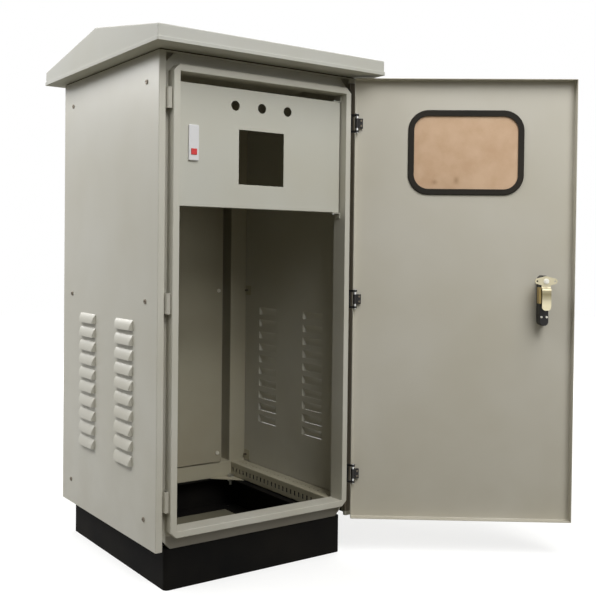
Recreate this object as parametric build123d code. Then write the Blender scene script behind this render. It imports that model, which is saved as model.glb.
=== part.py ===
from build123d import *
import os
from math import cos, radians, sin

# Roadside utility cabinet: a louvred sheet-steel body on a black plinth, under a gabled
# canopy, with its door open and a swing panel for instruments inside.
# Millimetres. X runs right, Y runs back and Z up. The origin is on the ground below the
# middle of the body, and the door side faces -Y.

# Body
body_width = 600.0
body_depth = 600.0
body_height = 1200.0
sheet = 1.5
bend_radius = 3.0

# Plinth
plinth_height = 100.0
plinth_sheet = 3.0
plinth_side_inset = 30.0
plinth_front_inset = 9.0
plinth_rear_inset = 18.0
plinth_corner_radius = 12.0
plinth_bottom_flange = 55.0
plinth_top_flange = 45.0
anchor_hole_radius = 7.0
anchor_spacing_x = 480.0
anchor_spacing_y = 508.0
plinth_bolt_inset = 9.5
plinth_bolt_front_setback = 68.0
plinth_bolt_rear_setback = 18.0
plinth_bolt_length = 25.0

# Side panels
side_flange = 19.0
side_return = 10.0
panel_screw_inset = 66.0

# Louvres
louvre_rows = 10
louvre_length = 100.0
louvre_height = 26.0
louvre_depth = 9.0
louvre_sill = 2.0
louvre_pitch = 38.0
louvre_top_lip = 524.0
louvre_column_offset = 117.0

# Front frame: the floor of the rain gutter, and the folded rim that stands out of it
gutter_floor_depth = 12.0
gutter_corner_cut = 44.0
rim_side_inset = 30.0
rim_top_inset = 29.5
rim_bottom_inset = 33.0
rim_face = 17.0
rim_stand = 19.5
rim_corner_chamfer = 15.0
rim_edge_radius = 2.5
jamb_depth = 49.5
jamb_flange = 14.0
frame_side_flange = 78.0
frame_top_flange = 38.0

# Rear frame and base
rear_frame_setback = 55.0
channel_height = 50.0
post_width = 58.5
post_rear_flange = 22.0
post_tab_reach = 30.0
post_tab_height = 30.0
base_flat_width = 48.5
base_flat_sheet = 2.0
gusset_leg = 80.0

# Perforated rails
rail_width = 51.0
rail_height = 44.0
rail_foot = 20.0
rail_lip = 14.0
rail_front_gap = 8.0
slot_count = 25
slot_pitch = 20.0
slot_width = 7.5
slot_height = 14.0
slot_drop = 23.0
rail_hole_radius = 3.0
rail_hole_inset = 24.0

# Mounting plate on its upright rails
plate_width = 410.0
plate_sheet = 2.5
plate_lift = 3.0
plate_end_gap = 3.0
plate_rail_width = 28.0
plate_rail_depth = 30.0
plate_screw_inset = 15.0
plate_screw_margin = 29.0

# Top plate and canopy
top_sheet = 2.0
seal_thickness = 3.5
seal_setback = 4.0
canopy_side_overhang = 40.5
canopy_front_overhang = 72.0
canopy_rear_overhang = 47.0
canopy_fascia = 38.0
canopy_hem = 2.5
canopy_hem_height = 9.0
canopy_rise = 60.0
canopy_seat = 36.0
canopy_bolt_inset = 22.0
canopy_bolt_spacing = 456.0
canopy_bolt_tail = 12.0

# Door
door_side_gap = 1.0
door_depth = 25.0
door_gap = 3.0
door_drop = 2.0
door_open_angle = 143.5
door_sheet = 1.5

# Window in the door
window_width = 315.0
window_height = 231.0
window_radius = 56.0
window_centre_x = -5.0
window_below_top = 197.0
gasket_face = 16.0
gasket_depth = 11.0
gasket_grip = 8.0
pane_grip = 4.0
pane_thickness = 3.0

# Hinges
hinge_spacing = 480.0
hinge_axis_inset = 6.5
hinge_axis_stand = 17.5
hinge_leaf_height = 50.0
hinge_leaf_sheet = 3.0
hinge_block_height = 26.0
hinge_lug_height = 5.5
hinge_knuckle_radius = 5.2
hinge_pin_radius = 3.0
hinge_pin_proud = 1.5
hinge_arm_thickness = 3.6
hinge_foot_reach = 16.0
bridge_height = 50.0
bridge_sheet = 2.0
bridge_proud = 2.0
keeper_proud = 12.0
keeper_heights = (121.0, 598.0, 1089.0)

# Door lock with a swing handle
spindle_from_edge = 85.0
spindle_height = 656.0
spindle_radius = 6.0
lock_below = 121.0
lock_above = 15.0
lock_width = 24.0
lock_body_depth = 36.0
clamp_sheet = 1.5
clamp_below = 17.0
clamp_height = 44.0
clamp_front_leg = 5.5
clamp_side_leg = 26.0
lock_screw_below = 97.0
lock_screw_offset = 7.0
cam_sheet = 3.0
cam_stand = 50.5
cam_joggle = 8.0
cam_ear_reach = 29.5
cam_ear_hole_offset = 23.5
cam_ear_hole_radius = 2.5
cam_ear_radius = 8.0
cam_hub_radius = 13.5
cam_joggle_below = 17.0
cam_joggle_height = 7.0
tongue_width = 24.0
tongue_length = 78.0
base_width = 34.0
base_depth = 7.0
base_above = 25.0
base_below = 130.0
lever_length = 96.0
lever_width = 20.0
lever_thickness = 8.0
lever_pin_radius = 2.0
hub_radius = 14.0
hub_depth = 4.0
plug_below = 114.0
plug_radius = 5.0

# Instrument swing panel
panel_setback = 5.0
panel_height = 300.0
panel_below_opening = 20.0
panel_side_gap = 3.0
panel_return = 15.0
panel_pivot_inset = 14.0
pivot_pin_radius = 3.0
pivot_tab_sheet = 2.0
pivot_tab_reach = 26.0
pivot_tab_leg = 15.0
meter_cutout = 138.0
meter_centre_x = -4.0
meter_centre_below_top = 170.5
lamp_hole_radius = 12.5
lamp_pitch = 80.0
lamp_below_top = 43.0

# Push-button latch of the swing panel
latch_width = 28.0
latch_height = 87.0
latch_proud = 5.0
latch_from_edge = 45.5
latch_below_top = 145.0
latch_rear_depth = 18.0
button_width = 16.0
button_height = 15.0
button_below_centre = 22.0
button_proud = 1.5
button_length = 9.0
bolt_width = 10.0
bolt_height = 12.0
bolt_stroke = 10.0

# Clearances
running_clearance = 0.08
sliding_clearance = 0.3
joint_gap = 0.3
screw_clearance = 0.25

# Fastener sizes: shank radius, head radius and head thickness
panel_screw = (3.0, 6.0, 2.2)
panel_screw_grip = 12.0
plate_screw = (3.0, 5.5, 4.0)
canopy_bolt = (4.0, 7.5, 5.0)
plinth_bolt = (6.0, 9.5, 7.5)
small_screw = (1.5, 3.0, 1.8)
socket_depth = 1.4

# Positions that follow from the sizes above
half_width = body_width / 2
front = -body_depth / 2
rear = body_depth / 2
bottom = plinth_height
top = plinth_height + body_height
middle = (bottom + top) / 2
inner_x = half_width - sheet
floor_y = front + gutter_floor_depth
rim_front = front - rim_stand
rim_x = half_width - rim_side_inset
rim_top = top - rim_top_inset
rim_bottom = bottom + rim_bottom_inset
opening_x = rim_x - rim_face
opening_top = rim_top - rim_face
opening_bottom = rim_bottom + rim_face
jamb_rear = rim_front + jamb_depth
rear_frame_y = rear - rear_frame_setback
post_inner_x = inner_x - post_width
screw_levels = (bottom + panel_screw_inset, middle, top - panel_screw_inset)
front_screw_y = front + panel_screw_inset
rear_screw_y = rear - panel_screw_inset
door_rear_y = front - door_gap
door_front_y = door_rear_y - door_depth
skin_inner_y = door_front_y + door_sheet
door_bottom = bottom - door_drop
door_top = top - door_drop
door_x = half_width - door_side_gap
axis_x = door_x - hinge_axis_inset
axis_y = front - hinge_axis_stand
door_middle = (door_bottom + door_top) / 2
hinge_levels = (door_middle - hinge_spacing, door_middle, door_middle + hinge_spacing)

os.makedirs("parts", exist_ok=True)


def slab(x_limits, y_limits, z_limits):
    """Rectangular block between the given limits."""
    x_low, x_high = sorted(x_limits)
    y_low, y_high = sorted(y_limits)
    z_low, z_high = sorted(z_limits)
    block = Box(x_high - x_low, y_high - y_low, z_high - z_low, align=Align.MIN)
    return Pos(x_low, y_low, z_low) * block


def rod(start, direction, radius, length):
    """Round bar that starts at a point and runs along a direction."""
    plane = Plane(origin=start, z_dir=direction)
    return extrude(plane * Circle(radius), length)


def folded_section(outside_points, thickness, side, radius=bend_radius):
    """Section of a folded sheet, from the corner points of its outside."""
    outside = FilletPolyline(*outside_points, radius=radius)
    return make_face(offset(outside, amount=thickness, side=side))


def standing_sheet(outside_points, z_low, z_high, thickness=sheet, side=Side.RIGHT):
    """Folded sheet with upright bends, from points in X and Y."""
    section = folded_section(outside_points, thickness, side)
    return extrude(Plane.XY.offset(z_low) * section, z_high - z_low)


def crosswise_sheet(outside_points, x_half, thickness=sheet, side=Side.RIGHT):
    """Folded sheet with bends along X, from points in Y and Z."""
    section = folded_section(outside_points, thickness, side)
    return extrude(Plane.YZ * section, x_half, both=True)


def lengthwise_sheet(outside_points, y_low, y_high, thickness=sheet, side=Side.RIGHT):
    """Folded sheet with bends along Y, from points in X and Z."""
    section = folded_section(outside_points, thickness, side)
    plane = Plane(origin=(0, y_high, 0), x_dir=(1, 0, 0), z_dir=(0, -1, 0))
    return extrude(plane * section, y_high - y_low)


def rounded_plate(width, height, radius, centre_x, centre_z, y_limits):
    """Upright plate with rounded corners, facing the front."""
    y_low, y_high = sorted(y_limits)
    outline = RectangleRounded(width, height, radius)
    plane = Plane(origin=(centre_x, y_high, centre_z), x_dir=(1, 0, 0), z_dir=(0, -1, 0))
    return extrude(plane * outline, y_high - y_low)


def screw(seat, inward, sizes, grip):
    """Socket screw whose head seats at a point, with its shank running inward."""
    shank_radius, head_radius, head_thickness = sizes
    outward = tuple(-part for part in inward)
    head = rod(seat, outward, head_radius, head_thickness)
    crown = head.edges().sort_by(Axis(seat, outward))[-1]
    head = chamfer(crown, head_thickness * 0.35)
    socket_floor = Vector(seat) + Vector(outward) * (head_thickness - socket_depth)
    socket = hexagon_head(socket_floor, outward, head_radius * 0.8, socket_depth)
    return head - socket + rod(seat, inward, shank_radius, grip)


def hexagon_head(seat, outward, across_flats, thickness):
    """Hexagonal bolt head or nut blank that seats at a point."""
    plane = Plane(origin=seat, z_dir=outward)
    return extrude(plane * RegularPolygon(across_flats / 2, 6, major_radius=False), thickness)


def opened(shape):
    """A door part, drawn closed, turned about the hinge axis to the open door."""
    axis = Axis((axis_x, axis_y, 0), (0, 0, 1))
    return shape.rotate(axis, door_open_angle)


def mirrored(shape):
    """The same shape on the other side of the cabinet."""
    return mirror(shape, about=Plane.YZ)


def save(name, *solids):
    """Write one sub-part, as a single solid or as a group of like solids."""
    bodies = [body for solid in solids for body in solid.solids()]
    shape = bodies[0] if len(bodies) == 1 else Compound(children=bodies)
    shape.label = name
    export_step(shape, f"parts/{name}.step")


# Plinth: a ring of folded sheet, with a flange below for the ground anchors and one above
# that carries the cabinet. Its middle is open for the cables.
plinth_x = half_width - plinth_side_inset
plinth_front = front + plinth_front_inset
plinth_rear = rear - plinth_rear_inset
plinth_centre_y = (plinth_front + plinth_rear) / 2
plinth_depth = plinth_rear - plinth_front


def plinth_prism(inset, z_low, z_high):
    """Upright prism on the plinth's rounded outline, drawn in by an inset."""
    corner = max(plinth_corner_radius - inset, plinth_sheet)
    outline = RectangleRounded(2 * (plinth_x - inset), plinth_depth - 2 * inset, corner)
    return extrude(Pos(0, plinth_centre_y, z_low) * outline, z_high - z_low)


anchor_x = anchor_spacing_x / 2
anchor_y = anchor_spacing_y / 2
plinth_bolt_x = plinth_x - plinth_top_flange + plinth_bolt_inset
plinth_bolt_front = front + plinth_bolt_front_setback
plinth_bolt_rear = rear_frame_y - plinth_bolt_rear_setback
plinth_bolt_places = [
    (side * plinth_bolt_x, y) for side in (-1, 1) for y in (plinth_bolt_front, plinth_bolt_rear)
]

plinth = plinth_prism(0, 0, plinth_height)
plinth -= plinth_prism(plinth_sheet, plinth_sheet, plinth_height - plinth_sheet)
plinth -= plinth_prism(plinth_bottom_flange, 0, plinth_sheet)
plinth -= plinth_prism(plinth_top_flange, plinth_height - plinth_sheet, plinth_height)
for x in (-anchor_x, anchor_x):
    for y in (-anchor_y, anchor_y):
        plinth -= rod((x, y, 0), (0, 0, 1), anchor_hole_radius, plinth_sheet)
for x, y in plinth_bolt_places:
    start = (x, y, plinth_height - plinth_sheet)
    plinth -= rod(start, (0, 0, 1), plinth_bolt[0] + screw_clearance, plinth_sheet)
save("plinth", plinth)


# Front frame: gutter floor, the hollow rim folded up from it, the jamb inside the rim and
# the flanges that the panels and the canopy are screwed to. It is welded into one piece.
def ring_block(x_half, z_low, z_high, y_low, y_high, corner=0.0):
    """Block across the door opening, with its four long corners cut off at 45 degrees."""
    block = slab((-x_half, x_half), (y_low, y_high), (z_low, z_high))
    if corner:
        block = chamfer(block.edges().filter_by(Axis.Y), corner)
    return block


floor_back = floor_y + sheet
rim_block = ring_block(rim_x, rim_bottom, rim_top, rim_front, floor_back, rim_corner_chamfer)
rim_block = fillet(rim_block.faces().sort_by(Axis.Y)[0].edges(), rim_edge_radius)
rim_hollow = ring_block(
    rim_x - sheet,
    rim_bottom + sheet,
    rim_top - sheet,
    rim_front + sheet,
    jamb_rear,
    rim_corner_chamfer - sheet / 2,
)
jamb_block = ring_block(
    opening_x + sheet, opening_bottom - sheet, opening_top + sheet, rim_front + sheet / 2, jamb_rear
)
jamb_flange_block = ring_block(
    opening_x + jamb_flange,
    opening_bottom - jamb_flange,
    opening_top + jamb_flange,
    jamb_rear - sheet,
    jamb_rear,
)
opening_block = ring_block(opening_x, opening_bottom, opening_top, rim_front, jamb_rear)

gutter_floor = slab((-inner_x, inner_x), (floor_y, floor_back), (bottom, top))
gutter_floor = chamfer(gutter_floor.edges().filter_by(Axis.Y), gutter_corner_cut)
front_frame = gutter_floor + rim_block
front_frame -= rim_hollow
front_frame += jamb_block
front_frame += jamb_flange_block
front_frame -= opening_block
side_flange_z = (bottom + gutter_corner_cut, top - gutter_corner_cut)
for side in (-1, 1):
    front_frame += slab(
        (side * (inner_x - sheet), side * inner_x),
        (floor_y, floor_y + frame_side_flange - gutter_floor_depth),
        side_flange_z,
    )
cross_flange_x = inner_x - gutter_corner_cut
front_frame += slab(
    (-cross_flange_x, cross_flange_x), (floor_y, floor_y + frame_top_flange), (top - sheet, top)
)
front_frame += slab(
    (-cross_flange_x, cross_flange_x),
    (floor_y, front + frame_side_flange),
    (bottom, bottom + sheet),
)


# Side panels: one sheet each, folded round the front and rear corners, with two columns of
# louvres pressed out of it.
def louvre_form(depth, height, length):
    """Solid of a pressed louvre: an arched hood with rounded ends, lip down at z = 0."""
    arch = TangentArc((depth, 0), (0, height), tangent=(0, 1))
    section = make_face([Line((0, 0), (depth, 0)), arch, Line((0, height), (0, 0))])
    arched_bar = extrude(Plane.XZ * section, length / 2, both=True)
    return arched_bar & extrude(SlotOverall(length, 2 * depth, rotation=90), height)


side_flange_x = half_width - side_flange
side_panel_line = [
    (side_flange_x, front + side_return),
    (side_flange_x, front),
    (half_width, front),
    (half_width, rear),
    (side_flange_x, rear),
]
side_panel = standing_sheet(side_panel_line, bottom, top, side=Side.LEFT)

louvre_outer = louvre_form(louvre_depth, louvre_height, louvre_length)
louvre_inner = louvre_form(louvre_depth, louvre_height - sheet, louvre_length - 2 * sheet)
louvre_inner -= slab((0, sheet), (-louvre_length / 2, louvre_length / 2), (0, louvre_sill))
hood_places = [
    Pos(half_width, column * louvre_column_offset, bottom + louvre_top_lip - row * louvre_pitch)
    for column in (-1, 1)
    for row in range(louvre_rows)
]
hoods = [place * louvre_outer for place in hood_places]
hollows = [place * Pos(-sheet, 0, 0) * louvre_inner for place in hood_places]
side_panel = side_panel.fuse(*hoods)
side_panel = side_panel.cut(*hollows)

side_screw_places = [(y, z) for y in (front_screw_y, rear_screw_y) for z in screw_levels]
panel_hole_radius = panel_screw[0] + screw_clearance
for y, z in side_screw_places:
    side_panel -= rod((half_width, y, z), (-1, 0, 0), panel_hole_radius, sheet)
save("side_panel_right", side_panel)
save("side_panel_left", mirrored(side_panel))

# Rear posts: channels that stand on the rear base channel, with tabs folded forward along
# the side panels to take their screws.
post_bottom = bottom + channel_height
post_top = top - channel_height
post_line = [
    (post_inner_x + post_rear_flange, rear - sheet),
    (post_inner_x, rear - sheet),
    (post_inner_x, rear_frame_y),
    (inner_x, rear_frame_y),
    (inner_x, rear - sheet - bend_radius),
]
rear_post = standing_sheet(post_line, post_bottom, post_top, side=Side.LEFT)
for z in screw_levels:
    rear_post += slab(
        (inner_x - sheet, inner_x),
        (rear_frame_y - post_tab_reach, rear_frame_y + bend_radius),
        (z - post_tab_height / 2, z + post_tab_height / 2),
    )
    rear_post -= rod((inner_x, rear_screw_y, z), (-1, 0, 0), panel_screw[0], sheet)
rear_hole_x = post_inner_x + post_rear_flange / 2
for z in screw_levels:
    rear_post -= rod((rear_hole_x, rear, z), (0, -1, 0), panel_screw[0], 2 * sheet)
save("rear_post_right", rear_post)
save("rear_post_left", mirrored(rear_post))


# Base frame: rear channel, two side flats and the corner gussets, welded together
def rear_channel(z_low, z_high):
    """Channel across the back of the frame, with its web facing the door."""
    line = [
        (rear - sheet, z_low),
        (rear_frame_y, z_low),
        (rear_frame_y, z_high),
        (rear - sheet, z_high),
    ]
    channel = crosswise_sheet(line, inner_x)
    corners = channel.edges().filter_by(Axis.Z).group_by(Axis.Y)[-1]
    return chamfer(corners, bend_radius - sheet)


flat_inner_x = inner_x - base_flat_width
base_flat_z = (bottom, bottom + base_flat_sheet)
base_frame = rear_channel(bottom, bottom + channel_height)
for side in (-1, 1):
    base_frame += slab(
        (side * flat_inner_x, side * inner_x),
        (front + frame_side_flange + joint_gap, rear_frame_y + sheet),
        base_flat_z,
    )
    gusset = Polygon(
        (side * flat_inner_x, rear_frame_y),
        (side * (flat_inner_x - gusset_leg), rear_frame_y),
        (side * flat_inner_x, rear_frame_y - gusset_leg),
        align=None,
    )
    base_frame += extrude(Pos(0, 0, bottom) * gusset, base_flat_sheet, dir=(0, 0, 1))
for x, y in plinth_bolt_places:
    bolt_hole = rod((x, y, bottom), (0, 0, 1), plinth_bolt[0] + screw_clearance, base_flat_sheet)
    base_frame -= bolt_hole
    front_frame -= bolt_hole
save("base_frame", base_frame)

# Top channel between the rear posts and the canopy
canopy_bolt_places = [
    (x, y)
    for x in (-canopy_bolt_spacing / 2, canopy_bolt_spacing / 2)
    for y in (front + canopy_bolt_inset, rear - canopy_bolt_inset)
]
top_channel = rear_channel(top - channel_height, top)
for x, y in canopy_bolt_places:
    bolt_hole = rod((x, y, top), (0, 0, -1), canopy_bolt[0] + screw_clearance, sheet)
    top_channel -= bolt_hole
    front_frame -= bolt_hole
save("top_channel", top_channel)

# Perforated rails on the side flats, for fixing cable clamps and equipment
rail_outer_x = inner_x - sheet
rail_inner_x = rail_outer_x - rail_width
rail_low = bottom + base_flat_sheet
rail_high = rail_low + rail_height
rail_front = jamb_rear + rail_front_gap
rail_line = [
    (rail_inner_x + rail_foot, rail_low),
    (rail_inner_x, rail_low),
    (rail_inner_x, rail_high),
    (rail_outer_x, rail_high),
    (rail_outer_x, rail_high - rail_lip),
]
rail = lengthwise_sheet(rail_line, rail_front, rear_frame_y)
rail_centre_y = (rail_front + rear_frame_y) / 2
slot_positions = [
    rail_centre_y + (index - (slot_count - 1) / 2) * slot_pitch for index in range(slot_count)
]
slot_z = rail_high - slot_drop
for y in slot_positions:
    rail -= slab(
        (rail_inner_x, rail_inner_x + sheet),
        (y - slot_width / 2, y + slot_width / 2),
        (slot_z - slot_height / 2, slot_z + slot_height / 2),
    )
    hole_start = (rail_inner_x + rail_hole_inset, y, rail_high)
    rail -= rod(hole_start, (0, 0, -1), rail_hole_radius, sheet)
save("perforated_rail_right", rail)
save("perforated_rail_left", mirrored(rail))

# Rear panel between the rear flanges of the side panels
rear_panel_x = side_flange_x - 0.8
rear_panel = slab((-rear_panel_x, rear_panel_x), (rear - sheet, rear), (bottom, top))
for side in (-1, 1):
    for z in screw_levels:
        start = (side * rear_hole_x, rear, z)
        rear_panel -= rod(start, (0, -1, 0), panel_hole_radius, sheet)
save("rear_panel", rear_panel)

# Mounting plate, held by six hexagon screws on two upright rails, which are hidden behind
# it and stand between the base channel and the top channel
plate_low = post_bottom + plate_end_gap
plate_high = post_top - plate_end_gap
plate_front_y = rear_frame_y - plate_sheet - plate_lift
plate_back_y = plate_front_y + plate_sheet
plate_screw_levels = (
    plate_low + plate_screw_margin,
    (plate_low + plate_high) / 2,
    plate_high - plate_screw_margin,
)
plate_screw_x = plate_width / 2 - plate_screw_inset
mounting_plate = slab(
    (-plate_width / 2, plate_width / 2), (plate_front_y, plate_back_y), (plate_low, plate_high)
)
plate_screws = []
plate_rails = []
plate_hole_radius = plate_screw[0] + screw_clearance
for side in (-1, 1):
    rail_x = side * plate_screw_x
    rail_section = [
        (rail_x - plate_rail_width / 2, plate_back_y + plate_rail_depth),
        (rail_x - plate_rail_width / 2, plate_back_y),
        (rail_x + plate_rail_width / 2, plate_back_y),
        (rail_x + plate_rail_width / 2, plate_back_y + plate_rail_depth),
    ]
    plate_rail = standing_sheet(rail_section, post_bottom, post_top, side=Side.LEFT)
    for z in plate_screw_levels:
        seat = (rail_x, plate_front_y, z)
        mounting_plate -= rod(seat, (0, 1, 0), plate_hole_radius, plate_sheet)
        shank = rod(seat, (0, 1, 0), plate_screw[0], plate_sheet + panel_screw_grip)
        plate_rail -= shank
        head = hexagon_head(seat, (0, -1, 0), 2 * plate_screw[1], plate_screw[2])
        plate_screws.append(head + shank)
    plate_rails.append(plate_rail)
save("mounting_plate", mounting_plate)
save("plate_rails", *plate_rails)
save("mounting_plate_screws", *plate_screws)

# Top plate that closes the body, a rubber seal and the gabled canopy over them. The canopy
# is a folded shell with a fascia all round, a drip hem along the foot of the fascia and a
# soffit that returns to the body.
top_plate_z = (top, top + top_sheet)
top_plate = slab((-half_width, half_width), (front, rear), top_plate_z)

canopy_x = half_width + canopy_side_overhang
canopy_front = front - canopy_front_overhang
canopy_rear = rear + canopy_rear_overhang
seal_z = (top + top_sheet, top + top_sheet + seal_thickness)
canopy_low = seal_z[1]
eaves = canopy_low + canopy_fascia
ridge_y = (canopy_front + canopy_rear) / 2


def gable_prism(inset, x_half):
    """Prism on the canopy's end outline, drawn in by the sheet's thickness."""
    outline = Polygon(
        (canopy_front + inset, canopy_low + inset),
        (canopy_rear - inset, canopy_low + inset),
        (canopy_rear - inset, eaves - inset),
        (ridge_y, eaves + canopy_rise - inset),
        (canopy_front + inset, eaves - inset),
        align=None,
    )
    return extrude(Plane.YZ * outline, x_half, both=True)


canopy = gable_prism(0, canopy_x)
canopy = fillet(canopy.edges(), bend_radius)
canopy_hollow = gable_prism(sheet, canopy_x - sheet)
canopy_hollow = fillet(canopy_hollow.edges(), bend_radius - sheet)
hem_x = canopy_x + canopy_hem
hem_y = (canopy_front - canopy_hem, canopy_rear + canopy_hem)
hem = slab((-hem_x, hem_x), hem_y, (canopy_low, canopy_low + canopy_hem_height))
hem = fillet(hem.edges().filter_by(Axis.Z), bend_radius + canopy_hem)
hem = fillet(hem.faces().sort_by(Axis.Z)[-1].edges(), canopy_hem / 2)
canopy += hem
canopy -= canopy_hollow
canopy -= slab(
    (canopy_seat - half_width, half_width - canopy_seat),
    (front + canopy_seat, rear - canopy_seat),
    (canopy_low, canopy_low + sheet),
)
seal_x = half_width - seal_setback
canopy_seal = slab((-seal_x, seal_x), (front + seal_setback, rear - seal_setback), seal_z)
canopy_seal -= slab(
    (canopy_seat - half_width, half_width - canopy_seat),
    (front + canopy_seat, rear - canopy_seat),
    seal_z,
)
canopy_bolts = []
bolt_grip = canopy_low + 2 * sheet - top
for x, y in canopy_bolt_places:
    bolt_hole = rod((x, y, top), (0, 0, 1), canopy_bolt[0] + screw_clearance, bolt_grip)
    top_plate -= bolt_hole
    canopy_seal -= bolt_hole
    canopy -= bolt_hole
    seat = (x, y, canopy_low + sheet)
    shank = rod(seat, (0, 0, -1), canopy_bolt[0], bolt_grip + canopy_bolt_tail)
    head = hexagon_head(seat, (0, 0, 1), 2 * canopy_bolt[1] - 2, canopy_bolt[2])
    nut = hexagon_head((x, y, top - sheet), (0, 0, -1), 2 * canopy_bolt[1] - 2, canopy_bolt[2])
    nut -= rod((x, y, top - sheet), (0, 0, -1), canopy_bolt[0], canopy_bolt[2])
    canopy_bolts += [head + shank, nut]
save("top_plate", top_plate)
save("canopy_seal", canopy_seal)
save("canopy", canopy)
save("canopy_bolts", *canopy_bolts)

# Bolts that hold the cabinet on the plinth
plinth_bolts = []
for x, y in plinth_bolt_places:
    seat_z = bottom + (sheet if y == plinth_bolt_front else base_flat_sheet)
    head = hexagon_head((x, y, seat_z), (0, 0, 1), 2 * plinth_bolt[1], plinth_bolt[2])
    nut_seat = (x, y, plinth_height - plinth_sheet)
    shank = rod((x, y, seat_z), (0, 0, -1), plinth_bolt[0], plinth_bolt_length)
    nut = hexagon_head(nut_seat, (0, 0, -1), 2 * plinth_bolt[1], plinth_bolt[2])
    nut -= rod(nut_seat, (0, 0, -1), plinth_bolt[0], plinth_bolt[2])
    plinth_bolts += [head + shank, nut]
save("plinth_bolts", *plinth_bolts)

# Screws of the side and rear panels, which turn into tapped holes in the frame
side_screws = [
    screw((half_width, y, z), (-1, 0, 0), panel_screw, panel_screw_grip)
    for y, z in side_screw_places
]
save("side_panel_screws_right", *side_screws)
save("side_panel_screws_left", *[mirrored(item) for item in side_screws])

rear_screws = []
for side in (-1, 1):
    for z in screw_levels:
        seat = (side * rear_hole_x, rear, z)
        rear_screws.append(screw(seat, (0, -1, 0), panel_screw, panel_screw_grip))
save("rear_panel_screws", *rear_screws)
for side in (-1, 1):
    for z in screw_levels:
        start = (side * inner_x, front_screw_y, z)
        front_frame -= rod(start, (-side, 0, 0), panel_screw[0], sheet)

# Brackets across the gutter, three on each side. Those on the right carry the hinges, and
# those on the left stand further out, toward the closed door.
bridge_front = front - bridge_proud
bridge_x = (rim_x + joint_gap, side_flange_x - joint_gap)


def bridge_bracket(z, face_y):
    """Channel bracket across the gutter, open above and below."""
    line = [
        (bridge_x[0], floor_y),
        (bridge_x[0], face_y),
        (bridge_x[1], face_y),
        (bridge_x[1], floor_y),
    ]
    section = folded_section(line, bridge_sheet, Side.LEFT, radius=bend_radius)
    return extrude(Plane.XY.offset(z - bridge_height / 2) * section, bridge_height)


bridges = [bridge_bracket(z, bridge_front) for z in hinge_levels]
keepers = [bridge_bracket(bottom + rise, front - keeper_proud) for rise in keeper_heights]
save("gutter_brackets_left", *[mirrored(item) for item in keepers])

# Hinges. The frame leaf lies on the bracket and reaches forward, in front of the side
# panel, to two lugs that hold the pin. The door block turns on the pin between them.
hinge_screw_rise = hinge_leaf_height / 2 - 12.0
leaf_front = bridge_front - hinge_leaf_sheet
leaf_x = (bridge_x[0] + joint_gap, axis_x - hinge_knuckle_radius)
lug_low = hinge_leaf_height / 2 - hinge_lug_height
block_face_y = axis_y - 1.0
block_screw_rise = hinge_block_height / 2 - 6.0
frame_leaves = []
hinge_pins = []
door_blocks = []
hinge_screws = []
door_hinge_screws = []
for index, z in enumerate(hinge_levels):
    z_limits = (z - hinge_leaf_height / 2, z + hinge_leaf_height / 2)
    leaf = slab(leaf_x, (leaf_front, bridge_front), z_limits)
    for side in (-1, 1):
        lug_z = z + side * (lug_low + hinge_lug_height / 2)
        lug_span = (lug_z - hinge_lug_height / 2, lug_z + hinge_lug_height / 2)
        arm = Polygon(
            (leaf_x[1] - 2 * hinge_arm_thickness, bridge_front),
            (leaf_x[1], bridge_front),
            (axis_x + hinge_arm_thickness, axis_y),
            (axis_x - hinge_arm_thickness, axis_y - hinge_arm_thickness / 2),
            align=None,
        )
        leaf += extrude(Pos(0, 0, lug_span[0]) * arm, hinge_lug_height, dir=(0, 0, 1))
        eye = Pos(axis_x, axis_y, lug_span[0]) * Circle(hinge_knuckle_radius)
        leaf += extrude(eye, hinge_lug_height)
        screw_z = z + side * hinge_screw_rise
        seat = ((bridge_x[0] + bridge_x[1]) / 2, leaf_front, screw_z)
        leaf -= rod(seat, (0, 1, 0), small_screw[0] + screw_clearance, hinge_leaf_sheet)
        bridges[index] -= rod(seat, (0, 1, 0), small_screw[0], hinge_leaf_sheet + bridge_sheet)
        hinge_screws.append(screw(seat, (0, 1, 0), small_screw, 10))
    pin_span = hinge_leaf_height + 2 * hinge_pin_proud
    pin_start = (axis_x, axis_y, z - pin_span / 2)
    pin = rod(pin_start, (0, 0, 1), hinge_pin_radius, pin_span)
    leaf -= pin
    frame_leaves.append(leaf)
    hinge_pins.append(pin)

    knuckle_z = z - hinge_block_height / 2
    knuckle = Pos(axis_x, axis_y, knuckle_z) * Circle(hinge_knuckle_radius)
    block = extrude(knuckle, hinge_block_height)
    foot_x = (axis_x - hinge_foot_reach, axis_x)
    block_z = (knuckle_z, knuckle_z + hinge_block_height)
    block += slab(foot_x, (skin_inner_y, block_face_y), block_z)
    block -= rod(pin_start, (0, 0, 1), hinge_pin_radius + running_clearance, pin_span)
    for side in (-1, 1):
        seat = (axis_x - hinge_foot_reach * 0.7, block_face_y, z + side * block_screw_rise)
        block_screw = screw(seat, (0, -1, 0), small_screw, block_face_y - skin_inner_y)
        door_hinge_screws.append(block_screw)
        block -= block_screw
    door_blocks.append(block)
save("gutter_brackets_right", *bridges)
save("hinge_leaves", *frame_leaves)
save("hinge_pins", *hinge_pins)
save("hinge_leaf_screws", *hinge_screws)
save("hinge_door_blocks", *[opened(item) for item in door_blocks])
save("hinge_block_screws", *[opened(item) for item in door_hinge_screws])

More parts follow.
